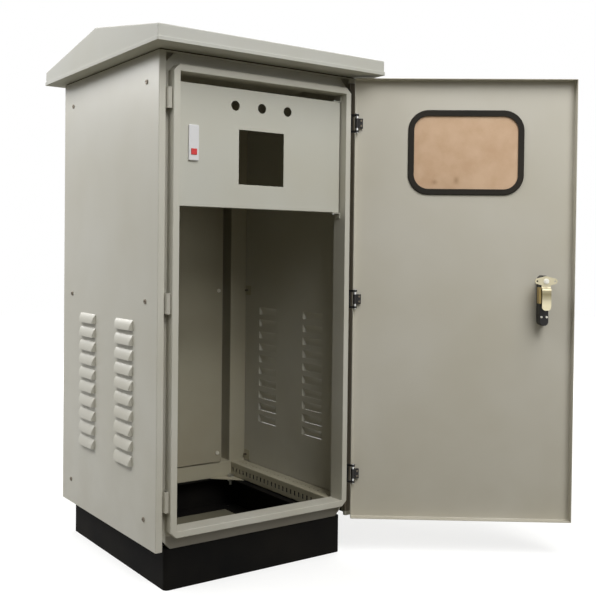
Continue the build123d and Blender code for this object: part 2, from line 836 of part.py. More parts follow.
# Door: a pan folded from one sheet, notched at the hinges, with a window and a cut-out for
# the lock
window_z = door_top - window_below_top
spindle_x = spindle_from_edge - door_x
spindle_z = door_bottom + spindle_height
cutout_inset = gasket_grip
door_panel = slab((-door_x, door_x), (door_front_y, door_rear_y), (door_bottom, door_top))
door_panel = fillet(door_panel.faces().sort_by(Axis.Y)[0].edges(), bend_radius)
door_hollow = slab(
    (door_sheet - door_x, door_x - door_sheet),
    (skin_inner_y, door_rear_y),
    (door_bottom + door_sheet, door_top - door_sheet),
)
door_panel -= fillet(door_hollow.faces().sort_by(Axis.Y)[0].edges(), bend_radius - door_sheet)
for z in hinge_levels:
    notch_half = hinge_leaf_height / 2 + 3.0
    door_panel -= slab(
        (door_x - door_sheet, door_x), (skin_inner_y, door_rear_y), (z - notch_half, z + notch_half)
    )
door_panel -= rounded_plate(
    window_width - 2 * cutout_inset,
    window_height - 2 * cutout_inset,
    window_radius - cutout_inset,
    window_centre_x,
    window_z,
    (door_front_y, skin_inner_y),
)
lock_centre_z = spindle_z + (lock_above - lock_below) / 2
lock_height = lock_above + lock_below
spigot_width = lock_width - 4.0
spigot_height = lock_height - 12.0
door_panel -= rounded_plate(
    spigot_width + 0.4,
    spigot_height + 0.4,
    spigot_width / 2 - 0.2,
    spindle_x,
    lock_centre_z,
    (door_front_y, skin_inner_y),
)
save("door_panel", opened(door_panel))

# Window: an H-section rubber gasket holds the pane in the door skin
gasket_mid_y = (door_front_y + skin_inner_y) / 2
gasket_y = (gasket_mid_y - gasket_depth / 2, gasket_mid_y + gasket_depth / 2)
pane_y = (gasket_mid_y - pane_thickness / 2, gasket_mid_y + pane_thickness / 2)


def window_plate(inset, y_limits):
    """Plate on the window's rounded outline, drawn in by an inset."""
    return rounded_plate(
        window_width - 2 * inset,
        window_height - 2 * inset,
        window_radius - inset,
        window_centre_x,
        window_z,
        y_limits,
    )


pane_inset = gasket_face - pane_grip
gasket = window_plate(0, gasket_y)
gasket = fillet(gasket.edges().filter_by(GeomType.LINE).filter_by(Axis.Y, reverse=True), 3.0)
gasket -= window_plate(gasket_face, gasket_y)
gasket -= window_plate(0, (door_front_y, skin_inner_y)) - window_plate(
    cutout_inset, (door_front_y, skin_inner_y)
)
window_pane = window_plate(pane_inset, pane_y)
gasket -= window_pane
save("window_gasket", opened(gasket))
save("window_pane", opened(window_pane))

# Lock. The base and its lever are outside, and the housing and the cam inside the door.
housing_y = (skin_inner_y, skin_inner_y + lock_body_depth)
housing = rounded_plate(
    lock_width, lock_height, lock_width / 2 - 0.5, spindle_x, lock_centre_z, housing_y
)
housing = fillet(housing.faces().sort_by(Axis.Y)[-1].edges(), 2.0)
lock_base = rounded_plate(
    base_width,
    base_above + base_below,
    base_width / 2 - 0.5,
    spindle_x,
    spindle_z + (base_above - base_below) / 2,
    (door_front_y - base_depth, door_front_y),
)
lock_base = fillet(lock_base.faces().sort_by(Axis.Y)[0].edges(), 2.0)
lock_base += rounded_plate(
    spigot_width,
    spigot_height,
    spigot_width / 2 - 0.5,
    spindle_x,
    lock_centre_z,
    (door_front_y, skin_inner_y),
)
base_front_y = door_front_y - base_depth
plug_z = spindle_z - plug_below
collar_depth = 5.0
lock_base += rod((spindle_x, base_front_y, plug_z), (0, -1, 0), plug_radius + 4.0, collar_depth)
spindle_bore = rod(
    (spindle_x, base_front_y, spindle_z),
    (0, 1, 0),
    spindle_radius + running_clearance,
    base_depth + door_sheet + lock_body_depth,
)
lock_base -= spindle_bore
housing -= spindle_bore
plug_length = base_depth + collar_depth
plug_front_y = base_front_y - collar_depth
lock_base -= rod(
    (spindle_x, plug_front_y, plug_z), (0, 1, 0), plug_radius + running_clearance, plug_length
)
lock_plug = rod((spindle_x, plug_front_y, plug_z), (0, 1, 0), plug_radius, plug_length)
lock_plug -= slab(
    (spindle_x - 0.8, spindle_x + 0.8), (plug_front_y, plug_front_y + 8.0), (plug_z - 3.5, plug_z + 3.5)
)
save("lock_base", opened(lock_base))
save("lock_plug", opened(lock_plug))

clamp_x = lock_width / 2 + clamp_sheet
clamp_face_y = housing_y[1] + clamp_sheet
clamp_line = [
    (spindle_x + clamp_x - clamp_front_leg, clamp_face_y),
    (spindle_x + clamp_x, clamp_face_y),
    (spindle_x + clamp_x, clamp_face_y - clamp_side_leg),
]
clamp_low = spindle_z - clamp_below - clamp_height
lock_clamp = standing_sheet(clamp_line, clamp_low, clamp_low + clamp_height, thickness=clamp_sheet)
save("lock_clamp", opened(lock_clamp))

lock_screw_z = spindle_z - lock_screw_below
lock_screws = [
    screw((spindle_x + side * lock_screw_offset, housing_y[1], lock_screw_z), (0, -1, 0), small_screw, 6)
    for side in (-1, 1)
]
for item in lock_screws:
    housing -= item
save("lock_housing", opened(housing))
save("lock_screws", *[opened(item) for item in lock_screws])

# Cam: a flat plate with two eared arms and a tongue that is set back by a joggle. It is
# drawn with the tongue down, as it hangs when the lock is released.
cam_y = skin_inner_y + cam_stand
tongue_y = cam_y + cam_joggle
joggle_top = spindle_z - cam_joggle_below
joggle_low = joggle_top - cam_joggle_height
tongue_tip = spindle_z - tongue_length
cam_side_line = [
    (cam_y, spindle_z + cam_hub_radius),
    (cam_y, joggle_top),
    (tongue_y, joggle_low),
    (tongue_y, tongue_tip),
]
cam_section = folded_section(cam_side_line, cam_sheet, Side.LEFT, radius=4.0)
cam_strip = extrude(Plane.YZ.offset(spindle_x) * cam_section, cam_ear_reach, both=True)
ear_x = cam_ear_reach - cam_ear_radius
ear_edges = [(Pos(side * ear_x, 0) * Circle(cam_ear_radius)).edge() for side in (-1, 1)]
cam_outline = make_hull([*ear_edges, Circle(cam_hub_radius).edge()])
tongue_outline = Pos(0, -tongue_length / 2) * Rectangle(tongue_width, tongue_length)
cam_outline += fillet(tongue_outline.vertices().sort_by(Axis.Y)[:2], tongue_width * 0.4)
cam_outline -= Pos(cam_ear_hole_offset, 0) * Circle(cam_ear_hole_radius)
cam_outline -= Pos(-cam_ear_hole_offset, 0) * Circle(cam_ear_hole_radius)
cam_plane = Plane(origin=(spindle_x, 0, spindle_z), x_dir=(1, 0, 0), z_dir=(0, -1, 0))
cam = cam_strip & extrude(cam_plane * cam_outline, body_depth, both=True)
cam_back_y = cam_y + cam_sheet
cam -= slab(
    (spindle_x - 4.0, spindle_x + 4.0), (cam_y, cam_back_y), (spindle_z - 4.0, spindle_z + 4.0)
)
save("lock_cam", opened(cam))

# Spindle from the hub to the cam, squared where the cam sits on it
hub_back_y = base_front_y - joint_gap
hub_front_y = hub_back_y - hub_depth
spindle = rod(
    (spindle_x, hub_back_y, spindle_z), (0, 1, 0), spindle_radius, cam_y - hub_back_y
)
spindle += slab(
    (spindle_x - 4.0, spindle_x + 4.0), (cam_y, cam_back_y), (spindle_z - 4.0, spindle_z + 4.0)
)
spindle += rod((spindle_x, hub_back_y, spindle_z), (0, -1, 0), hub_radius, hub_depth)
cheek_half = 4.5
pin_y = hub_front_y - 4.5
spindle += slab(
    (spindle_x - 5.0, spindle_x + 5.0),
    (hub_front_y, hub_front_y - 8.0),
    (spindle_z - cheek_half, spindle_z + cheek_half),
)
lever_pin = rod(
    (spindle_x, pin_y, spindle_z - lever_width / 2), (0, 0, 1), lever_pin_radius, lever_width
)
spindle -= lever_pin
save("lever_pin", opened(lever_pin))

washer_thickness = 1.5
cam_washer = rod((spindle_x, cam_back_y, spindle_z), (0, 1, 0), 7.5, washer_thickness)
bolt_seat = (spindle_x, cam_back_y + washer_thickness, spindle_z)
cam_bolt = hexagon_head(bolt_seat, (0, 1, 0), 9.0, 4.0)
cam_bolt_shank = rod(bolt_seat, (0, -1, 0), 2.5, 12.0)
cam_washer -= cam_bolt_shank
spindle -= cam_bolt_shank
save("lock_spindle", opened(spindle))
save("cam_washer", opened(cam_washer))
save("cam_bolt", opened(cam_bolt + cam_bolt_shank))

# Lever, turned level toward the hinges, as it stands with the lock released. Its fork
# straddles the hub, and it lies clear of the base so that it can turn and lift alike.
lever_back_y = pin_y + lever_thickness / 2 - joint_gap
lever_front_y = lever_back_y - lever_thickness
lever = rounded_plate(
    lever_length - 6.0,
    lever_width,
    lever_width / 2 - 0.5,
    spindle_x + lever_length / 2 + 3.0,
    spindle_z,
    (lever_front_y, lever_back_y),
)
lever = fillet(lever.faces().sort_by(Axis.Y)[0].edges(), 2.5)
fork_inner = cheek_half + sliding_clearance
lever -= slab(
    (spindle_x, spindle_x + 13.0),
    (lever_front_y, lever_back_y),
    (spindle_z - fork_inner, spindle_z + fork_inner),
)
for side in (-1, 1):
    cheek_z = (spindle_z + side * fork_inner, spindle_z + side * lever_width / 2)
    eye_start = (spindle_x, pin_y, min(cheek_z))
    lever += rod(eye_start, (0, 0, 1), 3.7, lever_width / 2 - fork_inner)
    lever += slab((spindle_x, spindle_x + 14.0), (pin_y - 3.7, pin_y + 3.7), cheek_z)
lever -= rod(
    (spindle_x, pin_y, spindle_z - lever_width),
    (0, 0, 1),
    lever_pin_radius + running_clearance,
    2 * lever_width,
)
save("lock_lever", opened(lever))

# Instrument panel: a tray that swings out between the jambs on two pivot pins, with a
# meter cut-out and three lamp holes
tray_front = front + panel_setback
tray_rear = tray_front + panel_return
tray_top = opening_top - panel_below_opening
tray_bottom = tray_top - panel_height
tray_x = opening_x - panel_side_gap
pivot_x = tray_x - panel_pivot_inset
pivot_y = (tray_front + tray_rear) / 2
meter_z = tray_top - meter_centre_below_top
lamp_z = tray_top - lamp_below_top
latch_x = latch_from_edge - tray_x
latch_z = tray_top - latch_below_top
instrument_panel = slab((-tray_x, tray_x), (tray_front, tray_rear), (tray_bottom, tray_top))
instrument_panel = fillet(
    instrument_panel.faces().sort_by(Axis.Y)[0].edges(), bend_radius - sheet
)
instrument_panel -= slab(
    (sheet - tray_x, tray_x - sheet),
    (tray_front + sheet, tray_rear),
    (tray_bottom + sheet, tray_top - sheet),
)
half_meter = meter_cutout / 2
instrument_panel -= slab(
    (meter_centre_x - half_meter, meter_centre_x + half_meter),
    (tray_front, tray_front + sheet),
    (meter_z - half_meter, meter_z + half_meter),
)
for index in (-1, 0, 1):
    start = (meter_centre_x + index * lamp_pitch, tray_front, lamp_z)
    instrument_panel -= rod(start, (0, 1, 0), lamp_hole_radius, sheet)
latch_rear_width = latch_width - 6.0
latch_rear_height = latch_height - 10.0
latch_rear_x = (latch_x - latch_rear_width / 2, latch_x + latch_rear_width / 2)
latch_rear_z = (latch_z - latch_rear_height / 2, latch_z + latch_rear_height / 2)
instrument_panel -= slab(latch_rear_x, (tray_front, tray_front + sheet), latch_rear_z)

# Pivot tabs on the right jamb, above and below the swing panel, and their pins
pivot_tabs = []
pivot_pins = []
for side, edge_z in ((1, tray_top), (-1, tray_bottom)):
    tab_near = edge_z + side * joint_gap
    tab_far = tab_near + side * pivot_tab_sheet
    tab = slab(
        (opening_x - pivot_tab_reach, opening_x), (pivot_y - 9.0, pivot_y + 9.0), (tab_near, tab_far)
    )
    tab += slab(
        (opening_x - pivot_tab_sheet, opening_x),
        (pivot_y - 9.0, pivot_y + 9.0),
        (tab_near, edge_z + side * pivot_tab_leg),
    )
    pin_low = edge_z - side * 6.0
    pin = rod((pivot_x, pivot_y, pin_low), (0, 0, side), pivot_pin_radius, 11.0)
    tab -= pin
    instrument_panel -= rod(
        (pivot_x, pivot_y, edge_z),
        (0, 0, -side),
        pivot_pin_radius + running_clearance,
        sheet,
    )
    pivot_tabs.append(tab)
    pivot_pins.append(pin)
save("pivot_tabs", *pivot_tabs)
save("pivot_pins", *pivot_pins)

# Latch: white body with a red push button, and a bolt toward the left jamb
latch_front = tray_front - latch_proud
latch_rear = tray_front + latch_rear_depth
latch_body = rounded_plate(
    latch_width, latch_height, 3.0, latch_x, latch_z, (latch_front, tray_front)
)
latch_body = fillet(latch_body.faces().sort_by(Axis.Y)[0].edges(), 1.5)
latch_body += slab(latch_rear_x, (tray_front, latch_rear), latch_rear_z)
button_z = latch_z - button_below_centre
button_half = (button_width / 2, button_height / 2)
button_front = latch_front - button_proud
button_rear = button_front + button_length
latch_button = slab(
    (latch_x - button_half[0], latch_x + button_half[0]),
    (button_front, button_rear),
    (button_z - button_half[1], button_z + button_half[1]),
)
latch_button = fillet(latch_button.faces().sort_by(Axis.Y)[0].edges(), 0.8)
latch_body -= slab(
    (latch_x - button_half[0] - sliding_clearance, latch_x + button_half[0] + sliding_clearance),
    (latch_front, button_rear + 4.0),
    (button_z - button_half[1] - sliding_clearance, button_z + button_half[1] + sliding_clearance),
)
bolt_y = latch_rear - bolt_width / 2 - 3.0
bolt_tip_x = joint_gap - opening_x
bolt_root_x = latch_x - 1.0
latch_bolt = slab(
    (bolt_tip_x, bolt_root_x),
    (bolt_y - bolt_width / 2, bolt_y + bolt_width / 2),
    (latch_z - bolt_height / 2, latch_z + bolt_height / 2),
)
bolt_nose = latch_bolt.edges().filter_by(Axis.Z).sort_by(Axis.X)[:2]
latch_bolt = chamfer(bolt_nose.sort_by(Axis.Y)[-1], 4.0)
bolt_track = slab(
    (latch_rear_x[0], bolt_root_x + bolt_stroke + 1.0),
    (bolt_y - bolt_width / 2 - sliding_clearance, bolt_y + bolt_width / 2 + sliding_clearance),
    (latch_z - bolt_height / 2 - sliding_clearance, latch_z + bolt_height / 2 + sliding_clearance),
)
latch_body -= bolt_track
instrument_panel -= slab(
    (-tray_x, sheet - tray_x),
    (bolt_y - bolt_width / 2 - sliding_clearance, tray_rear),
    (latch_z - bolt_height / 2 - sliding_clearance, latch_z + bolt_height / 2 + sliding_clearance),
)
save("latch_body", latch_body)
save("latch_button", latch_button)
rim_inner_edges = front_frame.faces().sort_by(Axis.Y)[0].inner_wires()[0].edges()
front_frame = fillet(rim_inner_edges, sheet * 0.8)
save("latch_bolt", latch_bolt)
save("instrument_panel", instrument_panel)
save("front_frame", front_frame)
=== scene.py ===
import math

import bpy
from mathutils import Matrix, Vector


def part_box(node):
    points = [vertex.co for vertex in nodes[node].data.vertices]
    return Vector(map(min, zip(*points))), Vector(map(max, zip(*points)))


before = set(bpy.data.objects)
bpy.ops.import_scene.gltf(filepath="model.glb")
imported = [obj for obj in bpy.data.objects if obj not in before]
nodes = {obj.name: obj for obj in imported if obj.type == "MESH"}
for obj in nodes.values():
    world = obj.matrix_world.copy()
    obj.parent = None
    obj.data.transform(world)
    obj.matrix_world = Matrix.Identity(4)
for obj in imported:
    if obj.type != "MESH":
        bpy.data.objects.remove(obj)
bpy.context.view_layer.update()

# Camera. It stands in front of the cabinet's left front corner, about 2.5 m away and at
# hinge height, as solved from the cabinet's edges in the photograph.
camera_place = Vector((-1.2727, -2.2137, 0.8221))
camera_heading = math.radians(34.64)
camera_tilt = math.radians(-1.04)
camera_roll = math.radians(0.61)
photo_width, photo_height = 596, 603
focal_pixels = 895.3
optical_centre = (278.7, 269.2)
film_size = 36.0
farthest_seen = 50.0

line_of_sight = Vector(
    (
        math.sin(camera_heading) * math.cos(camera_tilt),
        math.cos(camera_heading) * math.cos(camera_tilt),
        math.sin(camera_tilt),
    )
)
level_right = Vector((math.cos(camera_heading), -math.sin(camera_heading), 0))
level_up = level_right.cross(line_of_sight)
camera_right = math.cos(camera_roll) * level_right + math.sin(camera_roll) * level_up
camera_up = math.cos(camera_roll) * level_up - math.sin(camera_roll) * level_right
camera_turn = Matrix((camera_right, camera_up, -line_of_sight)).transposed()

lens = bpy.data.cameras.new("camera")
lens.sensor_width = film_size
lens.lens = film_size * focal_pixels / photo_height
lens.shift_x = (photo_width / 2 - optical_centre[0]) / photo_height
lens.shift_y = (optical_centre[1] - photo_height / 2) / photo_height
lens.clip_end = farthest_seen
camera = bpy.data.objects.new("camera", lens)
camera.matrix_world = Matrix.Translation(camera_place) @ camera_turn.to_4x4()
bpy.context.scene.collection.objects.link(camera)
bpy.context.scene.camera = camera


# Studio. The camera sees a white floor in a white room, and the floor keeps the shadow. Soft
# lamps stand in front, at the left and at the rear. None stands at the left front corner,
# because the gutters and the right inner wall are dark in the photograph.
def from_print(red, green, blue):
    """Linear colour of a paint, from its 0 to 255 value in print, by the sRGB curve."""
    shares = [part / 255 for part in (red, green, blue)]
    linear = [s / 12.92 if s < 0.04045 else ((s + 0.055) / 1.055) ** 2.4 for s in shares]
    return (*linear, 1.0)


def empty_material(name):
    """A material with a bare Principled shader, and its node tree."""
    material = bpy.data.materials.new(name)
    material.use_nodes = True
    tree = material.node_tree
    return material, tree, tree.nodes["Principled BSDF"]


def seen_directly(tree):
    """One for the rays that show the floor or the room themselves, and zero for the rest."""
    path = tree.nodes.new("ShaderNodeLightPath")
    seen = path.outputs["Is Camera Ray"]
    for kind in ("Is Glossy Ray", "Is Transmission Ray"):
        either = tree.nodes.new("ShaderNodeMath")
        either.operation = "MAXIMUM"
        tree.links.new(seen, either.inputs[0])
        tree.links.new(path.outputs[kind], either.inputs[1])
        seen = either.outputs[0]
    return seen


def quad(name, x_limits, y_limits, z):
    """A flat rectangle that faces up."""
    mesh = bpy.data.meshes.new(name)
    corners = [(x, y, z) for x, y in zip((*x_limits, *x_limits[::-1]), sorted(y_limits * 2))]
    mesh.from_pydata(corners, [], [(0, 1, 2, 3)])
    sheet = bpy.data.objects.new(name, mesh)
    bpy.context.scene.collection.objects.link(sheet)
    return sheet


def blend_colours(tree, share, first, second):
    """A mix of two colours, each a colour or a socket, by a share."""
    mix = tree.nodes.new("ShaderNodeMix")
    mix.data_type = "RGBA"
    for label, value in (("A", first), ("B", second)):
        socket = next(s for s in mix.inputs if s.name == label and s.type == "RGBA")
        if isinstance(value, tuple):
            socket.default_value = value
        else:
            tree.links.new(value, socket)
    tree.links.new(share, mix.inputs["Factor"])
    return next(s for s in mix.outputs if s.type == "RGBA")


white_floor = from_print(170, 170, 168)
brown_ground = from_print(104, 100, 82)
near_lift, far_lift = 0.66, 1.0
near_radius, far_radius = 1.4, 3.6
floor_reach = 9.0
floor_level = -0.0005
floor_roughness = 0.9
floor = quad(
    "studio_floor", (-floor_reach, floor_reach), (-floor_reach, floor_reach), floor_level
)
floor_finish, tree, shader = empty_material("studio_floor")
seen = seen_directly(tree)
floor_colour = blend_colours(tree, seen, brown_ground, white_floor)
tree.links.new(floor_colour, shader.inputs["Base Color"])
shader.inputs["Roughness"].default_value = floor_roughness
shader.inputs["Specular IOR Level"].default_value = 0.0
shader.inputs["Emission Color"].default_value = (1.0, 1.0, 1.0, 1.0)
radius = tree.nodes.new("ShaderNodeVectorMath")
radius.operation = "LENGTH"
tree.links.new(tree.nodes.new("ShaderNodeTexCoord").outputs["Object"], radius.inputs[0])
lift = tree.nodes.new("ShaderNodeMapRange")
lift.inputs["From Min"].default_value = near_radius
lift.inputs["From Max"].default_value = far_radius
lift.inputs["To Min"].default_value = near_lift
lift.inputs["To Max"].default_value = far_lift
tree.links.new(radius.outputs["Value"], lift.inputs["Value"])
lift_seen = tree.nodes.new("ShaderNodeMath")
lift_seen.operation = "MULTIPLY"
tree.links.new(lift.outputs["Result"], lift_seen.inputs[0])
tree.links.new(seen, lift_seen.inputs[1])
tree.links.new(lift_seen.outputs[0], shader.inputs["Emission Strength"])
floor.data.materials.append(floor_finish)

# Ground inside the open plinth. A brown patch, after the strip of ground that the photograph
# shows there. It ends short of the plinth's outer faces.
plinth_low, plinth_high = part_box("plinth")
ground_inset = 0.006
ground_level = -0.0002
ground_roughness = 0.95
bare_ground = quad(
    "bare_ground",
    (plinth_low[0] + ground_inset, plinth_high[0] - ground_inset),
    (plinth_low[1] + ground_inset, plinth_high[1] - ground_inset),
    ground_level,
)
ground_finish, _, shader = empty_material("bare_ground")
shader.inputs["Base Color"].default_value = brown_ground
shader.inputs["Roughness"].default_value = ground_roughness
bare_ground.data.materials.append(ground_finish)

# Room. It looks white and gives next to no light of its own, so the lamps make the shadows
room_light = 0.035
room = bpy.data.worlds.new("white_room")
room.use_nodes = True
bpy.context.scene.world = room
background = room.node_tree.nodes["Background"]
background.inputs["Color"].default_value = (1.0, 1.0, 1.0, 1.0)
brightness = room.node_tree.nodes.new("ShaderNodeMapRange")
brightness.inputs["To Min"].default_value = room_light
brightness.inputs["To Max"].default_value = 1.0
room.node_tree.links.new(seen_directly(room.node_tree), brightness.inputs["Value"])
room.node_tree.links.new(brightness.outputs["Result"], background.inputs["Strength"])

# Lamps. Soft squares at one distance from the cabinet, strongest from the front and above
lamp_target = Vector((0.0, -0.2, 0.7))
lamp_distance = 4.0


def softbox(name, azimuth, elevation, watts, size):
    """Square lamp aimed at the cabinet, with its azimuth counted from the front to the right."""
    lamp = bpy.data.lights.new(name, "AREA")
    lamp.size = size
    lamp.energy = watts
    box = bpy.data.objects.new(name, lamp)
    turn, climb = math.radians(azimuth), math.radians(elevation)
    reach = lamp_distance * math.cos(climb)
    place = lamp_target + Vector(
        (reach * math.sin(turn), -reach * math.cos(turn), lamp_distance * math.sin(climb))
    )
    facing = (lamp_target - place).to_track_quat("-Z", "Y").to_matrix().to_4x4()
    box.matrix_world = Matrix.Translation(place) @ facing
    bpy.context.scene.collection.objects.link(box)


softbox("front_lamp", azimuth=-4, elevation=32, watts=40, size=1.7)
softbox("front_top_lamp", azimuth=0, elevation=52, watts=112, size=2.2)
softbox("left_lamp", azimuth=-102, elevation=48, watts=75, size=2.0)
softbox("left_rear_lamp", azimuth=-150, elevation=30, watts=84, size=1.5)
softbox("right_rear_lamp", azimuth=130, elevation=35, watts=90, size=2.5)
bpy.context.scene.view_settings.view_transform = "Standard"


# Sheet metal. The body, the roof, the frames and the door are folded steel with a light
# grey-beige powder coat, which has a faint orange peel, fine speckle and slow mottling.
def value_group(name, inputs, outputs):
    """A shader group of values with named sockets, and its input and output node."""
    group = bpy.data.node_groups.new(name, "ShaderNodeTree")
    for label, default in inputs:
        socket = group.interface.new_socket(label, in_out="INPUT", socket_type="NodeSocketFloat")
        socket.default_value = default
    for label in outputs:
        group.interface.new_socket(label, in_out="OUTPUT", socket_type="NodeSocketFloat")
    entry = group.nodes.new("NodeGroupInput")
    leave = group.nodes.new("NodeGroupOutput")
    return group, entry, leave


def place_group(tree, group, **values):
    """Put a group into a material, with that material's own values."""
    placed = tree.nodes.new("ShaderNodeGroup")
    placed.node_tree = group
    for label, value in values.items():
        placed.inputs[label.capitalize()].default_value = value
    return placed


def reckon(tree, operation, first, second):
    """A math node on two values, each a number or a socket."""
    node = tree.nodes.new("ShaderNodeMath")
    node.operation = operation
    for slot, value in enumerate((first, second)):
        if isinstance(value, (int, float)):
            node.inputs[slot].default_value = value
        else:
            tree.links.new(value, node.inputs[slot])
    return node.outputs[0]


def noise(tree, vector, cells, detail=2.0):
    """A noise texture's value, at so many cells a metre."""
    texture = tree.nodes.new("ShaderNodeTexNoise")
    texture.inputs["Detail"].default_value = detail
    texture.inputs["Scale"].default_value = cells
    tree.links.new(vector, texture.inputs["Vector"])
    return texture.outputs["Fac"]


def stretch(tree, value, low, high, to_low=0.0, to_high=1.0):
    """A value's range mapped to another, and held at its ends."""
    node = tree.nodes.new("ShaderNodeMapRange")
    node.inputs["From Min"].default_value = low
    node.inputs["From Max"].default_value = high
    node.inputs["To Min"].default_value = to_low
    node.inputs["To Max"].default_value = to_high
    tree.links.new(value, node.inputs["Value"])
    return node.outputs["Result"]


# Relief of a coat or a plating: orange peel and fine speckle in its height, and the slow
# mottling of its shade. A noise seldom leaves the middle of its range, so that is spread.
peel_cells = 260.0
speckle_cells = 1100.0
mottle_cells = 3.2
common_noise = (0.32, 0.68)
common_grain = (0.35, 0.65)
coat_texture, entry, leave = value_group(
    "coat_texture",
    [("Peel", 1.0), ("Speckle", 1.0)],
    ["Height", "Mottle", "Grain"],
)
spot = coat_texture.nodes.new("ShaderNodeTexCoord").outputs["Object"]
peel = noise(coat_texture, spot, peel_cells)
speckle = noise(coat_texture, spot, speckle_cells, detail=1.0)
wander = noise(coat_texture, spot, mottle_cells, detail=3.0)
height = reckon(
    coat_texture,
    "ADD",
    reckon(coat_texture, "MULTIPLY", peel, entry.outputs["Peel"]),
    reckon(coat_texture, "MULTIPLY", speckle, entry.outputs["Speckle"]),
)
coat_texture.links.new(height, leave.inputs["Height"])
coat_texture.links.new(stretch(coat_texture, wander, *common_noise), leave.inputs["Mottle"])
coat_texture.links.new(stretch(coat_texture, speckle, *common_grain), leave.inputs["Grain"])

# Road dust. It gathers on ledges, which face up, and toward the ground, in patches
dust_slopes = (0.3, 0.95)
dust_cells = 9.0
common_dust = (0.35, 0.72)
road_dust, entry, leave = value_group("road_dust", [("Amount", 0.3), ("Reach", 0.5)], ["Mask"])
surface = road_dust.nodes.new("ShaderNodeNewGeometry")
split_normal = road_dust.nodes.new("ShaderNodeSeparateXYZ")
road_dust.links.new(surface.outputs["Normal"], split_normal.inputs[0])
ledge = stretch(road_dust, split_normal.outputs["Z"], *dust_slopes)
spot = road_dust.nodes.new("ShaderNodeTexCoord").outputs["Object"]
split_spot = road_dust.nodes.new("ShaderNodeSeparateXYZ")
road_dust.links.new(spot, split_spot.inputs[0])
rise = reckon(road_dust, "DIVIDE", split_spot.outputs["Z"], entry.outputs["Reach"])
splash = stretch(road_dust, rise, 1.0, 0.0)
patches = stretch(road_dust, noise(road_dust, spot, dust_cells, detail=6.0), *common_dust)
settled = reckon(road_dust, "MAXIMUM", ledge, splash)
dusted = reckon(road_dust, "MULTIPLY", settled, patches)
road_dust.links.new(
    reckon(road_dust, "MULTIPLY", dusted, entry.outputs["Amount"]), leave.inputs["Mask"]
)

# Zones. Each is a box that stands square to the cabinet at rest, with a soft edge, and a paint
# lies where it cuts a piece's faces: dirt and smudges, and also painted shade and painted
# highlight.
zone, entry, leave = value_group(
    "zone",
    [
        ("Left", 0.0),
        ("Right", 1.0),
        ("Front", 0.0),
        ("Rear", 1.0),
        ("Bottom", 0.0),
        ("Top", 1.0),
        ("Edge", 0.002),
    ],
    ["Mask"],
)
spot = zone.nodes.new("ShaderNodeTexCoord").outputs["Object"]
split_spot = zone.nodes.new("ShaderNodeSeparateXYZ")
zone.links.new(spot, split_spot.inputs[0])
covered = 1.0
for axis, low, high in (("X", "Left", "Right"), ("Y", "Front", "Rear"), ("Z", "Bottom", "Top")):
    along = split_spot.outputs[axis]
    depth = reckon(
        zone,
        "MINIMUM",
        reckon(zone, "SUBTRACT", along, entry.outputs[low]),
        reckon(zone, "SUBTRACT", entry.outputs[high], along),
    )
    ramp = reckon(zone, "DIVIDE", depth, entry.outputs["Edge"])
    held = reckon(zone, "MINIMUM", reckon(zone, "MAXIMUM", ramp, 0.0), 1.0)
    covered = reckon(zone, "MULTIPLY", covered, held)
zone.links.new(covered, leave.inputs["Mask"])


def stained_and_shaded(tree, colour, marks_and_painted_light):
    """A colour with paints laid on it in zones, dirt, smudges, painted shade and painted
    highlight among them, each filling the zone between two corners.
    """
    for marked_zone in marks_and_painted_light:
        placed = place_group(tree, zone, edge=marked_zone["edge"])
        for labels, corner in (
            (("Left", "Front", "Bottom"), marked_zone["low"]),
            (("Right", "Rear", "Top"), marked_zone["high"]),
        ):
            for label, limit in zip(labels, corner):
                placed.inputs[label].default_value = limit
        share = reckon(tree, "MULTIPLY", placed.outputs["Mask"], marked_zone["share"])
        colour = blend_colours(tree, share, colour, marked_zone["paint"])
    return colour


def vary_roughness(tree, texture, smoothest, roughest, shader):
    """Roughness of a shader that follows the speckle of its coat."""
    varied = stretch(tree, texture.outputs["Grain"], 0.0, 1.0, smoothest, roughest)
    tree.links.new(varied, shader.inputs["Roughness"])


def bump(tree, height, depth, shader):
    """Fine relief of a given depth in metres on a shader."""
    relief = tree.nodes.new("ShaderNodeBump")
    relief.inputs["Strength"].default_value = 1.0
    relief.inputs["Distance"].default_value = depth
    tree.links.new(height, relief.inputs["Height"])
    tree.links.new(relief.outputs["Normal"], shader.inputs["Normal"])


def powder_coat(
    name, paint, warm_paint, dust_paint, roughness, peel_depth, dust, gloss=0.42, marks_and_painted_light=()
):
    """Powder coat of one colour, with its peel, speckle, mottling, dust, and dirt and painted
    shade in zones.
    """
    material, tree, shader = empty_material(name)
    texture = place_group(tree, coat_texture, peel=1.0, speckle=0.5)
    soil = place_group(tree, road_dust, amount=dust, reach=0.6)
    mottled = blend_colours(tree, texture.outputs["Mottle"], paint, warm_paint)
    dusty = blend_colours(tree, soil.outputs["Mask"], mottled, dust_paint)
    tree.links.new(stained_and_shaded(tree, dusty, marks_and_painted_light), shader.inputs["Base Color"])
    vary_roughness(tree, texture, roughness - 0.05, roughness + 0.07, shader)
    shader.inputs["Specular IOR Level"].default_value = gloss
    bump(tree, texture.outputs["Height"], peel_depth, shader)
    return material


def dress(material, *names):
    """Give CAD nodes a material in place of their plain one."""
    for name in names:
        slots = nodes[name].data.materials
        slots.clear()
        slots.append(material)


dust_brown = from_print(142, 130, 104)
# The grime brown also serves as painted shade in the gutters.
grime_and_shade_brown = from_print(84, 72, 50)
deep_shade = from_print(14, 13, 11)

